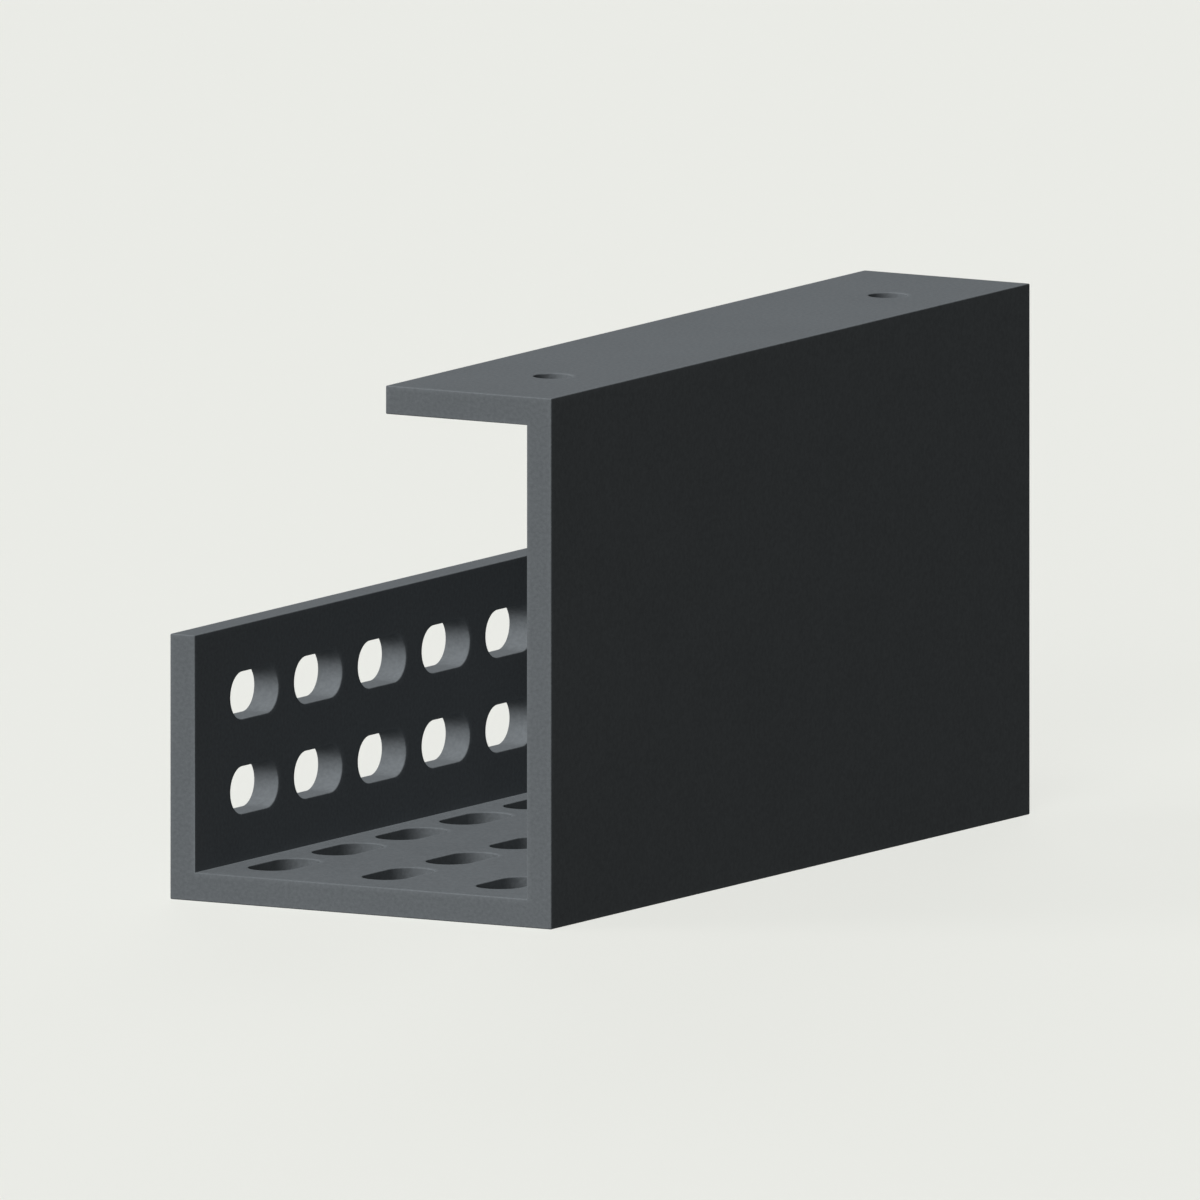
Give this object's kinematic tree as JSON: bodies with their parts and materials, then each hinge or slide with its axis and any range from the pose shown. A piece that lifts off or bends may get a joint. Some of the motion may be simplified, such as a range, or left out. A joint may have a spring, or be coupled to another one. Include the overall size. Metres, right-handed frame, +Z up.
{
  "type": "under-desk cable tray",
  "caption": "Short moulded cable tray with a slotted floor, a low slotted lip, a tall plain back wall, and a flange turned in over the top to screw up under a desk.",
  "frame": {"origin": "middle of the underside, on the floor that the tray stands on", "axes": "+X across the tray from the lip to the back wall, +Y along it from the near end to the far end, +Z up to the flange"},
  "size_m": [0.046, 0.1, 0.056],
  "materials": {
    "tray_plastic": "matte"
  },
  "bodies": {
    "root": {"cable_tray": "tray_plastic"}
  },
  "joints": []
}
